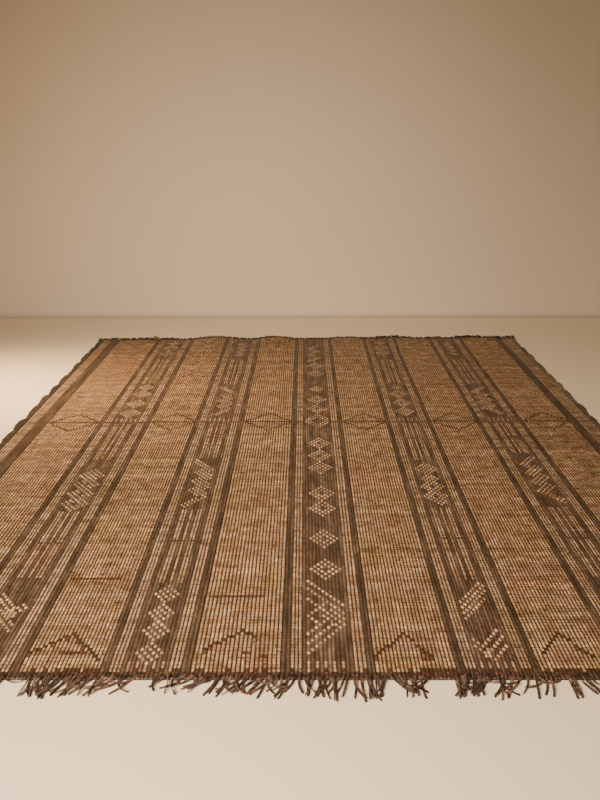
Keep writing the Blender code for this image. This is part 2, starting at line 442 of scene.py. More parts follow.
def woven_blank(name, us, xs, start, row_length, cells):
    """A flat closed slab. Its points carry their rib and row, and its faces their kind."""
    fine = 2 * len(cells[0]) + 1
    top_rows = np.arange(fine) / 2
    marks = list(range(0, fine - 1, 2 * UNDER_ROWS)) + [fine - 1]
    under_rows = top_rows[marks]
    coarse = len(marks)
    columns, plain = len(us), len(us[::3])

    top = np.stack(np.meshgrid(us, top_rows, indexing="ij"), axis=-1).reshape(-1, 2)
    under = np.stack(np.meshgrid(us[::3], under_rows, indexing="ij"), axis=-1).reshape(-1, 2)
    places = np.concatenate((top, under))
    points = np.zeros((len(places), 3))
    points[:, 0] = np.interp(places[:, 0], us, xs)
    points[:, 1] = start + places[:, 1] * row_length
    points[:len(top), 2] = GROOVE_HEIGHT

    def on_top(i, j):
        return i * fine + j

    def below(i, j):
        return len(top) + i * coarse + j

    faces, kinds = [], []
    usual = [max(set(cell), key=cell.count) for cell in cells]
    for i in range(columns - 1):
        for j in range(fine - 1):
            a = on_top(i, j)
            faces.append((a, a + fine, a + fine + 1, a + 1))
            kinds.append(cells[i // 3][j // 2])
    smooth = len(faces)
    for i in range(plain - 1):
        for j in range(coarse - 1):
            a = below(i, j)
            faces.append((a, a + 1, a + coarse + 1, a + coarse))
            kinds.append(usual[i])
        near = [on_top(3 * i + k, 0) for k in (3, 2, 1, 0)]
        far = [on_top(3 * i + k, fine - 1) for k in (0, 1, 2, 3)]
        faces.append([below(i, 0), below(i + 1, 0)] + near)
        faces.append([below(i + 1, coarse - 1), below(i, coarse - 1)] + far)
        # The near and far end faces are cut edges, coloured in painted shade
        kinds += [SHADED_CUT_EDGE, SHADED_CUT_EDGE]
    for j in range(coarse - 1):
        run = range(marks[j], marks[j + 1] + 1)
        left = [on_top(0, k) for k in run]
        right = [on_top(columns - 1, k) for k in reversed(run)]
        faces.append([below(0, j + 1), below(0, j)] + left)
        faces.append([below(plain - 1, j), below(plain - 1, j + 1)] + right)
        kinds += [usual[0], usual[-1]]

    mesh = bpy.data.meshes.new(name)
    mesh.from_pydata(points.tolist(), [], faces)
    mesh.polygons.foreach_set("use_smooth", [i < smooth for i in range(len(faces))])
    store(mesh, "rib", "FLOAT", "POINT", places[:, 0].astype(np.float32))
    store(mesh, "row", "FLOAT", "POINT", places[:, 1].astype(np.float32))
    store(mesh, "raised", "BOOLEAN", "POINT", np.arange(len(places)) < len(top))
    store(mesh, "kind", "FLOAT", "FACE", np.array(kinds, np.float32))
    corners = np.empty(len(mesh.loops), np.int32)
    mesh.loops.foreach_get("vertex_index", corners)
    weave = mesh.uv_layers.new(name="weave")
    weave.data.foreach_set("uv", places[corners].astype(np.float32).ravel())
    return put_in_scene(name, mesh)


def add(tree, kind, inputs=None, **settings):
    """Adds a node with its settings. Each input is a value, or a node or socket to link."""
    node = tree.nodes.new(kind)
    for name, value in settings.items():
        setattr(node, name, value)
    for socket, value in (inputs or {}).items():
        if isinstance(value, bpy.types.Node):
            value = value.outputs[0]
        if isinstance(value, bpy.types.NodeSocket):
            tree.links.new(value, node.inputs[socket])
        else:
            node.inputs[socket].default_value = value
    return node


def math_node(tree, operation, *values):
    return add(tree, "ShaderNodeMath", dict(enumerate(values)), operation=operation)


def even_range(tree, value, low, high, at_low, at_high, way="LINEAR"):
    """Goes from at_low to at_high as value goes from low to high."""
    return add(tree, "ShaderNodeMapRange", {0: value, 1: low, 2: high, 3: at_low, 4: at_high},
               interpolation_type=way)


def soft_range(tree, value, low, high, at_low=0.0, at_high=1.0):
    """The same, with a soft start and end."""
    return even_range(tree, value, low, high, at_low, at_high, "SMOOTHSTEP")


def noise(tree, place, scale, detail=2.0):
    """Noise over a place that is first scaled, unevenly if scale has three parts."""
    if not isinstance(scale, float):
        place = add(tree, "ShaderNodeVectorMath", {0: place, 1: scale}, operation="MULTIPLY")
        scale = 1.0
    return add(tree, "ShaderNodeTexNoise", {"Vector": place, "Scale": scale, "Detail": detail})


def stored(tree, name, data_type="FLOAT"):
    """The value that a mesh keeps under this name."""
    return add(tree, "GeometryNodeInputNamedAttribute", {"Name": name}, data_type=data_type)


def new_tree(name, sizes):
    """An empty Geometry Nodes tree with a mesh, named sizes and a material as its inputs."""
    tree = bpy.data.node_groups.new(name, "GeometryNodeTree")
    face = tree.interface
    face.new_socket("Mesh", in_out="INPUT", socket_type="NodeSocketGeometry")
    for size, value in sizes.items():
        socket = face.new_socket(size, in_out="INPUT", socket_type="NodeSocketFloat")
        socket.default_value = value
    face.new_socket("Material", in_out="INPUT", socket_type="NodeSocketMaterial")
    face.new_socket("Mesh", in_out="OUTPUT", socket_type="NodeSocketGeometry")
    return tree, tree.nodes.new("NodeGroupInput").outputs


def close_tree(tree, geometry, material):
    """Ends a tree: instances made real, then the material."""
    real = add(tree, "GeometryNodeRealizeInstances", {0: geometry})
    dressed = add(tree, "GeometryNodeSetMaterial", {"Geometry": real, "Material": material})
    add(tree, "NodeGroupOutput", {0: dressed})


def relief_tree():
    """Raises the ribs of a blank: its grooves, ribs, row dips and uneven hand."""
    tree, given = new_tree("raise ribs", {
        "Rib rise": RIB_HEIGHT - GROOVE_HEIGHT,
        "Row dip": 0.0004,
        "Dot rise": 0.0006,
        "Leather drop": 0.0003,
        "Unevenness": 0.0006,
        "Wander": 0.0040,
        "Rows": ROWS,
        "End squeeze": 0.8,
        "Seed": PANEL_SEED,
    })
    calc = partial(math_node, tree)
    rib, row, kind = (stored(tree, name) for name in ("rib", "row", "kind"))
    raised = stored(tree, "raised", "BOOLEAN")

    rib_wave = calc("SINE", calc("MULTIPLY", rib, math.pi))
    crown = calc("DIVIDE", calc("ABSOLUTE", rib_wave), math.sin(math.pi * RIB_SHOULDER))
    row_wave = calc("COSINE", calc("MULTIPLY", row, math.pi))
    dip = calc("MULTIPLY", calc("ABSOLUTE", row_wave), given["Row dip"])
    dot = calc("COMPARE", kind, REED_DOT, SAME_KIND)
    dot = calc("MULTIPLY", dot, given["Dot rise"])
    drop = calc("COMPARE", kind, LEATHER, ANY_LEATHER)
    drop = calc("MULTIPLY", drop, given["Leather drop"])
    cell = add(tree, "ShaderNodeCombineXYZ", {0: rib, 1: row, 2: given["Seed"]})
    uneven = calc("SUBTRACT", noise(tree, cell, 0.9, 1.0), 0.5)
    uneven = calc("MULTIPLY", uneven, given["Unevenness"])

    rise = calc("SUBTRACT", given["Rib rise"], dip)
    rise = calc("ADD", rise, dot)
    rise = calc("SUBTRACT", rise, drop)
    rise = calc("ADD", rise, uneven)
    rise = calc("MULTIPLY", rise, crown)
    to_end = calc("MINIMUM", calc("SUBTRACT", given["Rows"], row), row)
    kept = calc("SUBTRACT", 1.0, given["End squeeze"])
    rise = calc("MULTIPLY", rise, soft_range(tree, to_end, 0.0, SQUEEZED_ROWS, kept, 1.0))

    drift = calc("SUBTRACT", noise(tree, cell, (0.45, 0.11, 1.0)), 0.5)
    sideways = calc("MULTIPLY", drift, given["Wander"])
    move = add(tree, "ShaderNodeCombineXYZ", {0: sideways, 2: rise})
    shaped = add(tree, "GeometryNodeSetPosition", {
        "Geometry": given["Mesh"],
        "Selection": raised,
        "Offset": move,
    })
    close_tree(tree, shaped, given["Material"])
    return tree


def grow(obj, tree, sizes, material):
    """Runs a tree on an object and leaves its result as a plain mesh."""
    modifier = obj.modifiers.new(tree.name, "NODES")
    modifier.node_group = tree
    for item in tree.interface.items_tree:
        if item.in_out == "INPUT" and item.name in sizes:
            modifier[item.identifier] = sizes[item.name]
        if item.in_out == "INPUT" and item.name == "Material":
            modifier[item.identifier] = material
    shaped = obj.evaluated_get(bpy.context.evaluated_depsgraph_get())
    mesh = bpy.data.meshes.new_from_object(shaped)
    obj.modifiers.remove(modifier)
    mesh.name = obj.name
    obj.data = mesh


def woven_piece(name, first, edges, start, row_length, cells, sizes, look):
    """A slab of ribs from rib first on, with its ribs raised, laid on the floor."""
    lines = (0.0, RIB_SHOULDER, 1 - RIB_SHOULDER)
    last = first + len(cells)
    us = np.array([rib + line for rib in range(first, last) for line in lines] + [last])
    xs = np.interp(us, np.arange(len(edges)), edges)
    piece = woven_blank(name, us, xs, start, row_length, cells)
    grow(piece, raise_ribs, sizes, look)
    piece.data.set_sharp_from_angle(angle=math.radians(BORDER_DEG))
    lay_mesh(piece.data)
    return piece


def colour(hex_code):
    """The linear colour of an sRGB hex code."""
    parts = [int(hex_code[i:i + 2], 16) / 255 for i in (1, 3, 5)]
    linear = [c / 12.92 if c <= 0.04045 else ((c + 0.055) / 1.055) ** 2.4 for c in parts]
    return (*linear, 1.0)


def new_material(name):
    material = bpy.data.materials.new(name)
    material.use_nodes = True
    return material, material.node_tree, material.node_tree.nodes["Principled BSDF"]


# Split reed, dried and sun-tanned: matt, pale straw to pinkish tan, with painted shade towards
# the grooves where dark leather thongs are sunk. Where the leather floats over the reed it is
# brown, ridged like the reed under it, and rubbed. Four stems, 3.1 mm each, make up a row.
REED_STEMS = 4
EDGE_WOBBLE = 0.30
THONG_SLANT = 0.32
DOT_HALF_WIDTH = 0.47
DOT_HALF_LENGTH = 0.62
DOT_LIFT = 0.44
TINT_SHARE = 0.8


def ramp(tree, value, spots, *hex_codes):
    """A colour ramp from value, with a hex colour at each of three spots."""
    node = add(tree, "ShaderNodeValToRGB", {0: value})
    elements = node.color_ramp.elements
    elements.new(spots[1])
    for element, spot, hex_code in zip(elements, spots, hex_codes):
        element.position = spot
        element.color = colour(hex_code)
    return node


def scaled(tree, shade, factor):
    """A colour made lighter or darker."""
    node = add(tree, "ShaderNodeVectorMath", {0: shade}, operation="SCALE")
    tree.links.new(factor.outputs[0], node.inputs["Scale"])
    return node


def blend(tree, share, first, second, way="MIX"):
    """Mixes a share of the second colour into the first."""
    return add(tree, "ShaderNodeMix", {0: share, 6: first, 7: second}, data_type="RGBA",
               blend_type=way).outputs[2]


def cell_noise(tree, across, along, seed=0.0):
    """One random number for each cell."""
    cell = add(tree, "ShaderNodeCombineXYZ", {0: across, 1: along, 2: seed})
    return add(tree, "ShaderNodeTexWhiteNoise", {"Vector": cell}, noise_dimensions="3D")


def product(tree, value, *factors):
    for factor in factors:
        value = math_node(tree, "MULTIPLY", value, factor)
    return value


def dress(tree, shader, skin, rough, height, strength, depth, ior):
    """Joins colour, roughness and bump to the shader."""
    bump = add(tree, "ShaderNodeBump", {"Strength": strength, "Distance": depth,
                                        "Height": height})
    tree.links.new(skin, shader.inputs["Base Color"])
    tree.links.new(rough.outputs[0], shader.inputs["Roughness"])
    tree.links.new(bump.outputs[0], shader.inputs["Normal"])
    shader.inputs["IOR"].default_value = ior


def woven_material():
    material, tree, shader = new_material("split reed and goat leather weave")
    calc = partial(math_node, tree)
    weave = add(tree, "ShaderNodeUVMap", uv_map="weave")
    across, along, _ = add(tree, "ShaderNodeSeparateXYZ", {0: weave}).outputs
    kind = add(tree, "ShaderNodeAttribute", attribute_name="kind").outputs["Fac"]

    # Places within a rib and a row. The uneven hand makes each edge wobble, and the thongs
    # bind the reed on a slant
    wobble = calc("MULTIPLY", calc("SUBTRACT", noise(tree, weave, 1.7), 0.5), EDGE_WOBBLE)
    rib_side = calc("SUBTRACT", calc("FRACT", across), 0.5)
    from_rib = calc("ABSOLUTE", rib_side)
    rib_rough = calc("ADD", from_rib, wobble)
    slanted = calc("MULTIPLY_ADD", rib_side, THONG_SLANT, along)
    from_row = calc("ABSOLUTE", calc("SUBTRACT", calc("FRACT", slanted), 0.5))
    row_rough = calc("ADD", from_row, wobble)
    level_row = calc("ABSOLUTE", calc("SUBTRACT", calc("FRACT", along), 0.5))
    groove = soft_range(tree, rib_rough, 0.29, 0.38)

    # Masks of the leather: floats, the leather round a reed dot, spots, and thin picks
    is_leather = calc("COMPARE", kind, LEATHER, ANY_LEATHER)
    is_line, is_dot, is_pale, is_spot, is_pick = (
        calc("COMPARE", kind, number, SAME_KIND)
        for number in (LINE_LEATHER, REED_DOT, PALE_REED, LEATHER_SPOT, LEATHER_PICK)
    )
    is_pale = calc("MAXIMUM", is_pale, is_dot)
    dot_across = calc("DIVIDE", from_rib, DOT_HALF_WIDTH)
    dot_along = calc("DIVIDE", level_row, DOT_HALF_LENGTH)
    dot_reach = add(tree, "ShaderNodeCombineXYZ", {0: dot_across, 1: dot_along})
    dot_reach = add(tree, "ShaderNodeVectorMath", {0: dot_reach}, operation="LENGTH").outputs[1]
    dot_hole = soft_range(tree, calc("ADD", dot_reach, wobble), 0.92, 1.10)
    pick_reach = calc("ADD", level_row, wobble)
    spot = calc("MULTIPLY", is_spot, soft_range(tree, pick_reach, 0.54, 0.42))
    pick = calc("MULTIPLY", is_pick, soft_range(tree, pick_reach, 0.42, 0.30))
    leather = calc("MAXIMUM", groove, is_leather)
    leather = calc("MULTIPLY", leather, calc("SUBTRACT", 1.0, is_dot))
    leather = calc("MULTIPLY_ADD", is_dot, dot_hole, leather)
    leather = calc("MAXIMUM", calc("MAXIMUM", leather, spot), pick)

    # Reed: each row was one handful of stems, and patches have tanned pinker or greener. The
    # pale lines and figures are of whiter reed
    streak = noise(tree, weave, (0.20, 0.42, 1.0), 3.0)
    reed = ramp(tree, streak, (0.34, 0.50, 0.68), "#8F7253", "#AD8E71", "#C3A98B")
    pale = ramp(tree, streak, (0.34, 0.50, 0.68), "#8A7159", "#A78C73", "#BEA893")
    patch = noise(tree, weave, (0.06, 0.08, 1.0), 4.0)
    tint = ramp(tree, patch, (0.36, 0.50, 0.64), "#FFE6D8", "#FFF8EA", "#F6EFC8")
    reed = blend(tree, TINT_SHARE, blend(tree, is_pale, reed, pale), tint, "MULTIPLY")

    # Each bundle and each stem has its own tone. Ribs are darker towards the grooves, from dust
    # there and painted shade, darker in painted shadow where a thong crosses between rows, and a
    # few bundles have broken or stained black
    rib_number = calc("FLOOR", across)
    row_number = calc("FLOOR", slanted)
    stems = calc("MULTIPLY", slanted, REED_STEMS)
    handful = calc("FLOOR", calc("DIVIDE", across, 3.0))
    stem_tone = cell_noise(tree, handful, calc("FLOOR", stems), 1.3)
    tone = calc("ADD", cell_noise(tree, rib_number, row_number, 3.7), stem_tone)
    swathe = noise(tree, weave, (0.006, 0.40, 1.0), 3.0)
    strand = noise(tree, weave, (1.1, 0.05, 1.0))
    stain = noise(tree, weave, (0.8, 1.1, 1.0), 1.0)
    row_gap_shade_depth = cell_noise(tree, rib_number, row_number, 6.2)
    row_gap_shade_depth = even_range(tree, row_gap_shade_depth, 0.10, 1.0, 0.20, 1.0)
    # Painted shadow where a thong crosses between rows, deeper in some bundles than in others
    row_gap_shade = calc("MULTIPLY", soft_range(tree, row_rough, 0.33, 0.48), row_gap_shade_depth)
    reed = scaled(tree, reed, product(
        tree,
        even_range(tree, tone, 0.0, 2.0, 0.78, 1.42),
        soft_range(tree, swathe, 0.34, 0.66, 0.78, 1.22),
        soft_range(tree, strand, 0.32, 0.68, 0.84, 1.16),
        # painted shade towards the grooves, with dust in them too
        soft_range(tree, rib_rough, 0.06, 0.32, 1.06, 0.66),
        calc("SUBTRACT", 1.0, row_gap_shade),
        soft_range(tree, stain, 0.62, 0.69, 1.0, 0.38),
        calc("MULTIPLY_ADD", is_dot, DOT_LIFT, 1.0),
    ))

    # Leather: brown, nearly black in the grooves as painted shade, rubbed paler along the ridges,
    # with painted shade towards the grooves and where the rows meet
    wear = noise(tree, weave, (0.50, 0.08, 1.0), 3.0)
    hide = ramp(tree, wear, (0.34, 0.52, 0.70), "#4C3A2B", "#624D3D", "#806A56")
    line = ramp(tree, wear, (0.34, 0.52, 0.70), "#443427", "#594636", "#705C49")
    patch = noise(tree, weave, (0.13, 0.035, 1.0), 3.0)
    dye = ramp(tree, patch, (0.36, 0.50, 0.64), "#FFEEEA", "#FFFFFF", "#F4F3E0")
    hide = blend(tree, TINT_SHARE, blend(tree, is_line, hide, line), dye, "MULTIPLY")
    # Thongs sunk in the grooves take a warm dark brown as painted shade; the thin picks take the
    # same brown
    shaded_groove = calc("MULTIPLY", calc("SUBTRACT", 1.0, is_leather), groove)
    hide = blend(tree, calc("MAXIMUM", shaded_groove, pick), hide, colour("#5A3A20"))
    hide = blend(tree, spot, hide, colour("#4E3520"))
    tone = cell_noise(tree, rib_number, row_number, 8.1)
    hide = scaled(tree, hide, product(
        tree,
        even_range(tree, tone, 0.0, 1.0, 0.76, 1.24),
        # rubbed paler along the ridges, and painted shade towards the grooves
        soft_range(tree, rib_rough, 0.02, 0.36, 1.22, 0.52),
        # painted shade where the rows meet
        soft_range(tree, row_rough, 0.34, 0.50, 1.0, 0.74),
    ))
    skin = blend(tree, leather, reed, hide)

    # Bump: round stems with fine fibres along them, and the grain of the leather
    stem_round = calc("SINE", calc("MULTIPLY", calc("FRACT", stems), math.pi))
    fibre = noise(tree, weave, (0.5, 34.0, 1.0), 1.0)
    reed_height = calc("MULTIPLY_ADD", fibre, 0.35, stem_round)
    grain = noise(tree, weave, 13.0, 3.0)
    height = add(tree, "ShaderNodeMix", {0: leather, 2: reed_height, 3: grain}, data_type="FLOAT")
    rough = even_range(tree, leather, 0.0, 1.0, 0.66, 0.52)
    dress(tree, shader, skin, rough, height, strength=0.55, depth=0.0006, ior=1.45)
    shader.inputs["Specular IOR Level"].default_value = 0.4
    return material


woven_look = woven_material()
raise_ribs = relief_tree()
panels, panel_widths = [], []
rib = 0
for panel in PANELS[1:-1]:
    last = rib + sum(panel.ribs)
    piece = woven_piece("woven_" + panel.name, rib, EDGES, WOVEN_START, ROW,
                        chart[rib:last].tolist(), {}, woven_look)
    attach(piece, "root")
    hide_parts("woven_mat")
    panels.append(piece)
    panel_widths.append(float(EDGES[last] - EDGES[rib]))
    rib = last


# The headings: at each end the thongs are twined together in a brown leather strip, one knot
# for each rib in three close rows, which runs on over the side bindings.
HEADING_ROWS = 3
HEADING_RELIEF = {
    "Rib rise": 0.0024,
    "Row dip": 0.0014,
    "Unevenness": 0.0026,
    "Seed": 9.0,
    "End squeeze": 0.0,
}
LEFT_KNOTS = 4
RIGHT_KNOTS = 3
KNOT_WOBBLE = 0.4
KNOT_SLANT = 0.5
# How much darker the heading's cut edge faces are painted, as shade
CUT_EDGE_SHADE = 0.6


def leather_material(name, dark, middle, pale, twined=False):
    """Worn hide: mottled, satin where rubbed, with fine grain. Twined hide has painted shade in
    the gaps between its knots and on its cut edges.
    """
    material, tree, shader = new_material(name)
    calc = partial(math_node, tree)
    place = add(tree, "ShaderNodeTexCoord").outputs["Object"]
    mottle = noise(tree, place, 90.0, 3.0)
    hide = ramp(tree, mottle, (0.30, 0.50, 0.72), dark, middle, pale)
    if twined:
        weave = add(tree, "ShaderNodeUVMap", uv_map="weave")
        across, along, _ = add(tree, "ShaderNodeSeparateXYZ", {0: weave}).outputs
        wobble = calc("SUBTRACT", noise(tree, weave, 1.9), 0.5)
        side = calc("SUBTRACT", calc("FRACT", across), 0.5)
        from_rib = calc("MULTIPLY_ADD", wobble, KNOT_WOBBLE, calc("ABSOLUTE", side))
        slanted = calc("MULTIPLY_ADD", side, KNOT_SLANT, along)
        from_row = calc("ABSOLUTE", calc("SUBTRACT", calc("FRACT", slanted), 0.5))
        from_row = calc("MULTIPLY_ADD", wobble, KNOT_WOBBLE, from_row)
        knot_tone = cell_noise(tree, calc("FLOOR", across), calc("FLOOR", slanted))
        kind = add(tree, "ShaderNodeAttribute", attribute_name="kind").outputs["Fac"]
        is_shaded_cut = calc("COMPARE", kind, SHADED_CUT_EDGE, SAME_KIND)
        # Painted shade: each knot is darker towards the gaps between ribs and rows, and the cut
        # edge faces are darker still
        shade = product(
            tree,
            soft_range(tree, from_rib, 0.12, 0.44, 1.2, 0.42),
            soft_range(tree, from_row, 0.26, 0.50, 1.0, 0.62),
            even_range(tree, knot_tone, 0.0, 1.0, 0.68, 1.36),
            calc("MULTIPLY_ADD", is_shaded_cut, -CUT_EDGE_SHADE, 1.0),
        )
        patch = noise(tree, weave, (0.09, 0.25, 1.0), 3.0)
        dye = ramp(tree, patch, (0.36, 0.50, 0.64), "#FFD0C8", "#FFFFFF", "#DDE6B6")
        hide = blend(tree, TINT_SHARE, hide, dye, "MULTIPLY")
    else:
        shade = add(tree, "ShaderNodeAttribute", attribute_name="shade").outputs["Fac"]
        shade = even_range(tree, shade, 0.0, 1.0, 0.5, 1.5)
    skin = scaled(tree, hide, shade).outputs[0]
    height = calc("ADD", noise(tree, place, 900.0, 3.0), noise(tree, place, 240.0))
    rough = even_range(tree, mottle, 0.3, 0.7, 0.62, 0.46)
    dress(tree, shader, skin, rough, height, strength=0.6, depth=0.0005, ior=1.5)
    return material


knot_leather = leather_material("twined goat leather", "#342217", "#50392B", "#705441",
                                twined=True)
pitch_left = STRIPS[0].width_mm * MM / LEFT_KNOTS
pitch_right = STRIPS[-1].width_mm * MM / RIGHT_KNOTS
knot_edges = np.concatenate((
    EDGES[0] - pitch_left * np.arange(LEFT_KNOTS, 0, -1),
    EDGES,
    EDGES[-1] + pitch_right * np.arange(1, RIGHT_KNOTS + 1),
))
knots = [[LEATHER] * HEADING_ROWS for _ in knot_edges[1:]]
for end, start in (("near", 0.0), ("far", LENGTH - HEADING_DEPTH)):
    piece = woven_piece("heading_" + end, 0, knot_edges, start, HEADING_DEPTH / HEADING_ROWS,
                        knots, HEADING_RELIEF, knot_leather)
    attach(piece, "root")
    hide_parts("fringe_" + end)


# The fringe: the thongs' free ends, up to two for each rib. They come off the top of the
# heading, drop to the floor, and lie there in bunches that lean one way, with a few curled
# or lost. At the far end most are short or folded under.
THONG_LENGTH = 0.062
FAR_THONG_LENGTH = 0.030
THONG_WIDTH = 0.0056
THONG_THICKNESS = 0.0016
THONG_STEPS = 12
ROOT_DEPTH = 0.009
BUNCH_SIZES = (2, 3, 3, 4, 5)
BUNCH_LEAN_DEG = 8.0
BUNCH_CURL = 0.35
BUNCH_PULL = (0.25, 0.75)
THONG_LEAN_DEG = 5.0
THONG_CURL = 3.2
THONG_REACH = (0.84, 1.06)
THONG_SHIFT = 0.35
ROOT_SHIFT = 0.003
FALL_SHARE = 0.26
THONG_FACTS = ("lean", "curl", "gather", "reach", "rise")
Spread = namedtuple("Spread", "fact low high")
SPREADS = (
    Spread("tilt", -0.7, 0.7),
    Spread("twist", -1.4, 1.4),
    Spread("shade", 0.0, 1.0),
    Spread("broad", 0.72, 1.18),
)
Tuft = namedtuple("Tuft", "start lean_deg share reach rise_mm")
NEAR_TUFTS = (
    Tuft(-1.30, -18, 1.2, 0.95, 3),
    Tuft(-1.02, 12, 1.1, 1.00, 3),
    Tuft(-0.86, -30, 1.2, 0.95, 3),
    Tuft(-0.71, -60, 0.3, 1.10, 2),
    Tuft(-0.65, -18, 1.8, 1.05, 4),
    Tuft(-0.60, -38, 1.4, 1.00, 3),
    Tuft(-0.56, -34, 1.7, 0.95, 3),
    Tuft(-0.52, -40, 1.4, 1.00, 3),
    Tuft(-0.47, -46, 1.1, 1.10, 3),
    Tuft(-0.39, 0, 0.0, 1.00, 0),
    Tuft(-0.36, -20, 0.8, 0.65, 6),
    Tuft(-0.33, -10, 0.4, 0.80, 4),
    Tuft(-0.31, -40, 1.6, 0.95, 3),
    Tuft(-0.25, -48, 1.1, 0.95, 4),
    Tuft(-0.22, -32, 1.6, 0.95, 3),
    Tuft(-0.19, -40, 1.6, 0.95, 3),
    Tuft(-0.10, -24, 1.7, 1.05, 3),
    Tuft(-0.05, -46, 1.2, 0.95, 5),
    Tuft(-0.02, 6, 1.3, 0.95, 4),
    Tuft(0.02, 0, 1.6, 1.10, 4),
    Tuft(0.06, -22, 1.2, 1.00, 3),
    Tuft(0.09, 2, 1.1, 1.10, 2),
    Tuft(0.11, 0, 1.9, 1.15, 3),
    Tuft(0.14, -14, 1.1, 0.95, 6),
    Tuft(0.18, 14, 1.3, 1.00, 4),
    Tuft(0.23, 0, 1.1, 1.00, 4),
    Tuft(0.26, -44, 0.6, 0.95, 5),
    Tuft(0.29, 0, 0.1, 0.90, 2),
    Tuft(0.32, 10, 1.7, 1.00, 3),
    Tuft(0.36, -12, 1.5, 1.00, 4),
    Tuft(0.40, -20, 1.7, 1.05, 3),
    Tuft(0.46, -44, 1.0, 1.05, 6),
    Tuft(0.49, 4, 0.7, 1.05, 4),
    Tuft(0.52, 6, 1.1, 1.00, 3),
    Tuft(0.57, 0, 0.1, 1.00, 0),
    Tuft(0.59, 6, 1.5, 1.05, 2),
    Tuft(0.62, 34, 0.8, 0.95, 4),
    Tuft(0.66, 0, 0.5, 0.90, 2),
    Tuft(0.72, -22, 1.1, 0.95, 3),
    Tuft(0.95, 20, 1.1, 1.00, 3),
    Tuft(1.12, -14, 1.1, 0.90, 4),
)
FAR_TUFTS = (
    Tuft(-1.30, -12, 1.0, 0.80, 3),
    Tuft(-1.20, 15, 1.2, 0.90, 6),
    Tuft(-1.01, -10, 1.3, 1.00, 12),
    Tuft(-0.95, 0, 1.6, 1.05, 20),
    Tuft(-0.90, 20, 1.3, 0.85, 8),
    Tuft(-0.81, -15, 0.9, 0.60, 3),
    Tuft(-0.42, 10, 0.9, 0.50, 1),
    Tuft(-0.28, 0, 0.8, 0.40, 1),
    Tuft(-0.02, -20, 0.9, 0.45, 1),
    Tuft(0.10, 0, 0.8, 0.40, 1),
    Tuft(0.32, 15, 0.9, 0.50, 2),
    Tuft(0.44, -25, 1.5, 1.00, 10),
    Tuft(0.57, 10, 0.9, 0.60, 2),
    Tuft(0.73, -20, 1.4, 0.85, 7),
    Tuft(0.82, 0, 0.9, 0.60, 2),
    Tuft(0.90, 20, 1.5, 1.00, 11),
    Tuft(1.05, -10, 0.9, 0.60, 2),
    Tuft(1.13, 15, 1.5, 1.00, 10),
)


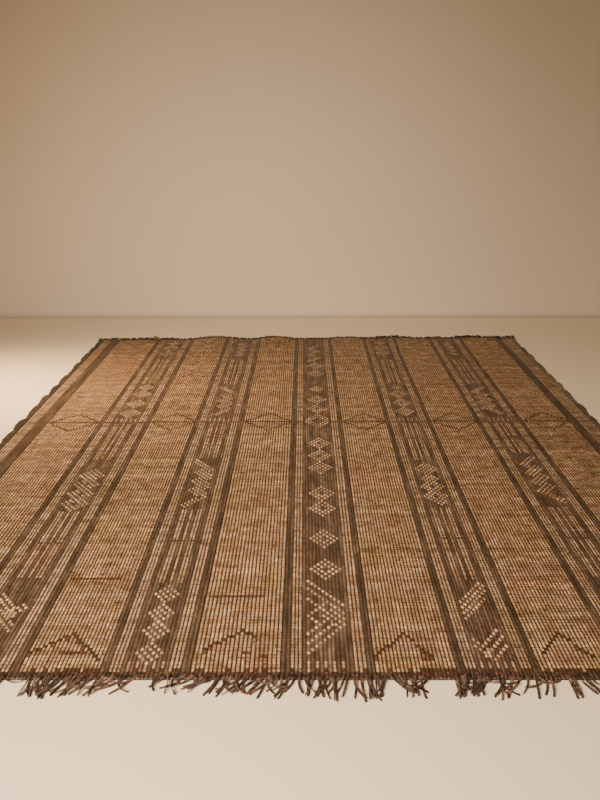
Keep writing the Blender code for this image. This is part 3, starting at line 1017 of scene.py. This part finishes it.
def fringe_tree():
    """Grows one flat thong from each point, out along Y, down to the floor."""
    tree, given = new_tree("fringe", {
        "Length": THONG_LENGTH,
        "Width": THONG_WIDTH,
        "Thickness": THONG_THICKNESS,
        "Outward": -1.0,
        "Root depth": ROOT_DEPTH,
        "Root height": 0.0052,
        "Seed": 1.0,
    })
    calc = partial(math_node, tree)
    line = add(tree, "GeometryNodeCurvePrimitiveLine", {"Start": (0, 0, 0), "End": (0, 0, 1)})
    line = add(tree, "GeometryNodeResampleCurve", {"Curve": line, "Count": THONG_STEPS})
    roots = add(tree, "GeometryNodeInstanceOnPoints", {"Points": given["Mesh"], "Instance": line})
    for number, spread in enumerate(SPREADS, 20):
        value = add(tree, "FunctionNodeRandomValue", {
            2: spread.low,
            3: spread.high,
            "Seed": calc("ADD", given["Seed"], float(number)),
        }, data_type="FLOAT").outputs[1]
        roots = add(tree, "GeometryNodeStoreNamedAttribute", {
            "Geometry": roots,
            "Name": spread.fact,
            "Value": value,
        }, data_type="FLOAT", domain="INSTANCE")
    strips = add(tree, "GeometryNodeRealizeInstances", {0: roots})
    known = {fact: stored(tree, fact) for fact in ("tilt", "twist", "broad") + THONG_FACTS}

    # Its run over the floor is an arc, and its tip is drawn towards the middle of its bunch
    t = add(tree, "GeometryNodeSplineParameter").outputs["Factor"]
    root = add(tree, "ShaderNodeSeparateXYZ", {0: add(tree, "GeometryNodeInputPosition")})
    reach = calc("MULTIPLY", known["reach"], given["Length"])
    length = calc("ADD", reach, given["Root depth"])
    gone = calc("MULTIPLY", t, length)
    half = calc("MULTIPLY", calc("MULTIPLY", known["curl"], t), 0.5)
    chord = calc("DIVIDE", calc("SINE", half), half)
    chord = calc("MULTIPLY", chord, gone)
    bend = calc("MULTIPLY_ADD", t, 0.5, 0.5)
    angle = calc("MULTIPLY_ADD", known["lean"], bend, half)
    x = calc("MULTIPLY", chord, calc("SINE", angle))
    y = calc("MULTIPLY", chord, calc("COSINE", angle))
    x = calc("MULTIPLY_ADD", known["gather"], t, x)
    y = calc("MULTIPLY", y, given["Outward"])

    # It runs over the heading, falls from its edge, and may hop off the floor
    edge = calc("DIVIDE", given["Root depth"], length)
    early = calc("MULTIPLY", edge, 0.75)
    held = soft_range(tree, t, early, calc("ADD", edge, FALL_SHARE), 1.0, 0.0)
    height = calc("SUBTRACT", root.outputs[2], t)
    height = calc("ADD", height, given["Root height"])
    height = calc("MULTIPLY", height, held)
    hop = calc("SINE", calc("MULTIPLY", t, math.pi))
    hop = calc("MULTIPLY", hop, known["rise"])
    twist = calc("MULTIPLY_ADD", known["twist"], t, known["tilt"])
    edge_up = calc("ABSOLUTE", calc("SINE", twist))
    edge_up = calc("MULTIPLY", edge_up, given["Width"])
    edge_up = calc("MULTIPLY_ADD", edge_up, 0.5, THONG_THICKNESS * 0.6)
    z = calc("ADD", calc("ADD", height, hop), edge_up)
    x = calc("ADD", root.outputs[0], x)
    y = calc("ADD", root.outputs[1], y)
    path = add(tree, "ShaderNodeCombineXYZ", {0: x, 1: y, 2: z})
    strips = add(tree, "GeometryNodeSetPosition", {"Geometry": strips, "Position": path})
    strips = add(tree, "GeometryNodeSetCurveNormal", {"Curve": strips}, mode="Z_UP")
    strips = add(tree, "GeometryNodeSetCurveTilt", {"Curve": strips, "Tilt": twist})
    taper = calc("MULTIPLY", even_range(tree, t, 0.0, 1.0, 1.05, 0.66), known["broad"])
    strips = add(tree, "GeometryNodeSetCurveRadius", {"Curve": strips, "Radius": taper})
    section = add(tree, "GeometryNodeCurvePrimitiveQuadrilateral", {
        "Width": given["Width"],
        "Height": given["Thickness"],
    })
    thongs = add(tree, "GeometryNodeCurveToMesh", {
        "Curve": strips,
        "Profile Curve": section,
        "Fill Caps": True,
    })
    thongs = add(tree, "GeometryNodeSetShadeSmooth", {"Geometry": thongs, "Shade Smooth": False})
    close_tree(tree, thongs, given["Material"])
    return tree


def thong_facts(xs, tufts, seed):
    """Where the thongs that are left start, and their lean, curl, gather, reach and rise."""
    hand = random.Random(seed)
    pitch = xs[1] - xs[0]
    starts = [tuft.start for tuft in tufts]
    kept = []
    index = 0
    while index < len(xs):
        bunch = xs[index:index + hand.choice(BUNCH_SIZES)]
        index += len(bunch)
        middle = sum(bunch) / len(bunch)
        shared_lean = hand.gauss(0.0, BUNCH_LEAN_DEG)
        shared_curl = hand.gauss(0.0, BUNCH_CURL)
        pull = hand.uniform(*BUNCH_PULL)
        for x in bunch:
            tuft = tufts[max(np.searchsorted(starts, x, side="right") - 1, 0)]
            for _ in range(int(tuft.share + hand.random())):
                start = x + pitch * hand.uniform(-THONG_SHIFT, THONG_SHIFT)
                inside = hand.uniform(-ROOT_SHIFT, ROOT_SHIFT)
                lean_deg = tuft.lean_deg + shared_lean + hand.gauss(0.0, THONG_LEAN_DEG)
                curl = shared_curl + THONG_CURL * hand.uniform(-1.0, 1.0) ** 5
                reach = tuft.reach * hand.uniform(*THONG_REACH)
                rise = tuft.rise_mm * MM * hand.random()
                gather = pull * (middle - x)
                kept.append((start, inside, math.radians(lean_deg), curl, gather, reach, rise))
    return kept


thong_leather = leather_material("cut goat leather thongs", "#1E140D", "#453329", "#765C4B")
# The far thongs are darker leather, darkened further as painted shade, for the far end lies in
# shadow
shaded_far_leather = leather_material("dark goat leather thongs in painted shade", "#120B07", "#2A1C13",
                                   "#443022")
grow_fringe = fringe_tree()


def fringe(name, tufts, s, seed, sizes, leather, node):
    """Thongs along the mat's end, from points s along it."""
    facts = thong_facts((knot_edges[:-1] + knot_edges[1:]) / 2, tufts, seed)
    mesh = bpy.data.meshes.new(name)
    mesh.from_pydata([(fact[0], s + fact[1], 0.0) for fact in facts], [], [])
    for column, attribute in enumerate(THONG_FACTS, 2):
        values = np.array([fact[column] for fact in facts], np.float32)
        store(mesh, attribute, "FLOAT", "POINT", values)
    lay_mesh(mesh)
    obj = put_in_scene(name, mesh)
    grow(obj, grow_fringe, sizes, leather)
    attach(obj, "root")
    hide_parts(node)
    return obj


fringe_near = fringe("thongs_near", NEAR_TUFTS, ROOT_DEPTH, 4,
                     {"Outward": -1.0, "Seed": 4.0}, thong_leather, "fringe_near")
fringe_far = fringe("thongs_far", FAR_TUFTS, LENGTH - ROOT_DEPTH, 31,
                    {"Outward": 1.0, "Seed": 31.0, "Length": FAR_THONG_LENGTH},
                    shaded_far_leather, "fringe_far")


# The side bindings: a laced edge of overlapping leaf-shaped pieces of worn hide. Each leaf
# is narrow at its near end, widest near its far end, and lies on the next one's root.
LEAVES = 18
LEAF_LENGTHS = (0.7, 1.45)
LEAF_WIDTHS = (0.76, 1.0)
LEAF_NARROW = 0.60
LEAF_WIDEST = (0.50, 0.90)
LEAF_STEPS = 20
LEAF_COLUMNS = 7
LEAF_OVERLAP = 0.030
LEAF_TIP_FROM = 0.93
LEAF_TIP_DROP = 0.30
LEAF_FINE_WAVE = 0.0012
LEAF_LONG_WAVE = 0.0014
LEAF_LOW = 0.0004
LEAF_RISE = 0.0021
LEAF_CROWN = 0.0021
LEAF_CREASE = 0.0004
LEAF_TOP = 0.0009
LEAF_UNDER = 0.0006
LEAF_SHARP_DEG = 50


def leaf_lengths(near, far, wide, rng):
    """Start, end and full width of each leaf along the edge, as the solids have them."""
    lengths = [rng.uniform(*LEAF_LENGTHS) for _ in range(LEAVES)]
    scale = (far - near) / sum(lengths)
    start = near
    for length in lengths:
        yield start, start + length * scale, wide * rng.uniform(*LEAF_WIDTHS)
        start += length * scale


def leaf_mesh(side, inner, start, end, full, narrow, rng, points, faces):
    """Adds one leaf, a thin closed blade that rises towards its far end."""
    base = len(points)
    stem = max(start - LEAF_OVERLAP, WOVEN_START)
    ring = 2 * LEAF_COLUMNS
    phase = rng.uniform(0, 6)
    widest = rng.uniform(*LEAF_WIDEST)
    for i in range(LEAF_STEPS + 1):
        t = i / LEAF_STEPS
        s = stem + (end - stem) * t
        tip = 1.0 - LEAF_TIP_DROP * (max(t - LEAF_TIP_FROM, 0.0) / (1 - LEAF_TIP_FROM)) ** 2
        out = (narrow + (full - narrow) * smooth_step(t / widest)) * tip
        wave = LEAF_FINE_WAVE * math.sin(26 * t + phase)
        out += wave + LEAF_LONG_WAVE * math.sin(11 * t - phase)
        low = LEAF_LOW + LEAF_RISE * t
        for j in range(LEAF_COLUMNS):
            across = j / (LEAF_COLUMNS - 1)
            crown = LEAF_CROWN * math.sin(math.pi * (0.16 + 0.76 * across)) ** 0.7
            crease = LEAF_CREASE * math.sin(9 * t * math.pi + 5 * across + phase)
            points.append((inner + side * out * across, s, low + crown + crease + LEAF_TOP))
        for j in reversed(range(LEAF_COLUMNS)):
            across = j / (LEAF_COLUMNS - 1)
            points.append((inner + side * out * across, s, max(low - LEAF_UNDER, 0.0)))
    for i in range(LEAF_STEPS):
        for j in range(ring):
            a = base + i * ring + j
            b = base + i * ring + (j + 1) % ring
            quad = (a, b, b + ring, a + ring)
            faces.append(quad if side > 0 else quad[::-1])
    first = tuple(range(base, base + ring))
    last = tuple(range(base + LEAF_STEPS * ring, base + (LEAF_STEPS + 1) * ring))
    faces.append(first[::-1] if side > 0 else first)
    faces.append(last if side > 0 else last[::-1])


# The left binding has stained darker than the right one.
dark_leaves = leather_material("laced stained goat leather", "#1B150E", "#302619", "#463927")
brown_leaves = leather_material("laced goat leather", "#423327", "#63503E", "#806C56")
for name, side, seed, strip, leaf_leather in (
    ("left", -1, 13, STRIPS[0], dark_leaves),
    ("right", 1, 14, STRIPS[-1], brown_leaves),
):
    rng = random.Random(seed)
    wide = strip.width_mm * MM
    inner = (EDGES[0] if side < 0 else EDGES[-1]) + side * GAP
    points, faces, shades = [], [], []
    leaves = list(leaf_lengths(WOVEN_START, LENGTH - WOVEN_START, wide - GAP, rng))
    for start, end, full in leaves:
        before = len(faces)
        leaf_mesh(side, inner, start, end, full, wide * LEAF_NARROW, rng, points, faces)
        shades += [rng.random()] * (len(faces) - before)
    mesh = bpy.data.meshes.new("binding_leaves_" + name)
    mesh.from_pydata(points, [], faces)
    store(mesh, "shade", "FLOAT", "FACE", np.array(shades, np.float32))
    lay_mesh(mesh)
    mesh.shade_smooth()
    mesh.set_sharp_from_angle(angle=math.radians(LEAF_SHARP_DEG))
    mesh.materials.append(leaf_leather)
    obj = put_in_scene("binding_leaves_" + name, mesh)
    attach(obj, "root")
    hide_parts("binding_" + name)


# The mat is cloth that was woven to this size, and it lies flat. The loop below goes through its
# panels and their widths and does nothing with them.
for piece, width in zip(panels, panel_widths):
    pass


# The floor: plain, pale and smooth, with a warm plain backdrop close behind the mat. The
# backdrop shows its front only, so it doesn't hide the mat from behind.
FLOOR_REACH = 9.0
BACKDROP_Y = 2.13
BACKDROP_HEIGHT = 6.0
SWEEP_RADIUS = 0.05
FLOOR_DROP = 0.0002
SWEEP_STEPS = 8


def stage_piece(name, profile, hex_code):
    """A wide plain strip along the profile's points (along, up)."""
    count = len(profile)
    points = [(x, y, z - FLOOR_DROP) for x in (-FLOOR_REACH, FLOOR_REACH) for y, z in profile]
    faces = [(i, i + count, i + count + 1, i + 1) for i in range(count - 1)]
    mesh = bpy.data.meshes.new(name)
    mesh.from_pydata(points, [], faces)
    mesh.shade_smooth()
    look, tree, shader = new_material(name + " plaster")
    shader.inputs["Base Color"].default_value = colour(hex_code)
    shader.inputs["Roughness"].default_value = 0.75
    behind = add(tree, "ShaderNodeNewGeometry").outputs["Backfacing"]
    clear = add(tree, "ShaderNodeBsdfTransparent")
    sided = add(tree, "ShaderNodeMixShader", {0: behind, 1: shader, 2: clear})
    tree.links.new(sided.outputs[0], tree.nodes["Material Output"].inputs["Surface"])
    mesh.materials.append(look)
    obj = put_in_scene(name, mesh)
    obj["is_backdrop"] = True


sweep = []
for i in range(SWEEP_STEPS + 1):
    turn = i / SWEEP_STEPS * math.pi / 2
    sweep.append((
        BACKDROP_Y - SWEEP_RADIUS + SWEEP_RADIUS * math.sin(turn),
        SWEEP_RADIUS - SWEEP_RADIUS * math.cos(turn),
    ))
stage_piece("floor", [(-FLOOR_REACH, 0.0), (FLOOR_REACH, 0.0)], "#F4E2C4")
stage_piece("backdrop", sweep + [(BACKDROP_Y, BACKDROP_HEIGHT)], "#C8B59D")

# The light: warm and broad from behind the camera's left, with a beam from a window on the
# left, a soft wash on the backdrop, and a weak fill all round
Lamp = namedtuple("Lamp", "name place target size power spread_deg tint")
LAMPS = (
    Lamp("front", (-2.6, -5.0, 2.2), (-0.6, -2.0, 0.0), 2.0, 112.0, 90, "#FFEFDA"),
    Lamp("near floor", (-1.0, -4.5, 2.0), (-0.5, -2.3, 0.0), 1.5, 55.0, 80, "#FFEBD4"),
    Lamp("window", (-4.4, 0.0, 2.2), (-1.3, 0.05, 0.0), 1.2, 18.0, 45, "#FFDEB0"),
    Lamp("window pane", (-4.2, 0.6, 2.0), (-1.5, 0.55, 0.0), 0.6, 11.0, 26, "#FFD8A8"),
    Lamp("wash", (0.0, -3.2, 1.2), (-0.5, 2.1, 0.8), 1.0, 8.0, 45, "#FFECD4"),
)
for lamp in LAMPS:
    data = bpy.data.lights.new(lamp.name, "AREA")
    data.size = lamp.size
    data.energy = lamp.power
    data.spread = math.radians(lamp.spread_deg)
    data.color = colour(lamp.tint)[:3]
    obj = put_in_scene(lamp.name, data)
    direction = np.array(lamp.target) - np.array(lamp.place)
    level = math.hypot(direction[0], direction[1])
    turn = math.atan2(-direction[0], direction[1])
    obj.rotation_euler = Euler((math.atan2(level, -direction[2]), 0.0, turn))
    obj.location = lamp.place
    obj.visible_camera = False
world = bpy.data.worlds.new("warm room light")
world.use_nodes = True
glow = world.node_tree.nodes["Background"].inputs
glow["Color"].default_value = colour("#E9D6BC")
glow["Strength"].default_value = 0.06
bpy.context.scene.world = world

# The camera: at a crouching height before the near end, looking a little down. A 35 mm lens
# has the photo's angle of view.
CAMERA_PLACE = (-0.00225, -3.0125, 1.2094)
CAMERA_TURN_DEG = (70.60, 0.196, 0.556)
camera_data = bpy.data.cameras.new("camera")
camera_data.lens = 35.0
camera_data.sensor_width = 36.0
camera = put_in_scene("camera", camera_data)
camera.location = np.array(CAMERA_PLACE) + SHIFT
camera.rotation_euler = Euler([math.radians(angle) for angle in CAMERA_TURN_DEG])
bpy.context.scene.camera = camera

boxes = {"cad": cad_bounds, "visual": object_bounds()}
{key: [list(corner) for corner in box] for key, box in boxes.items()}
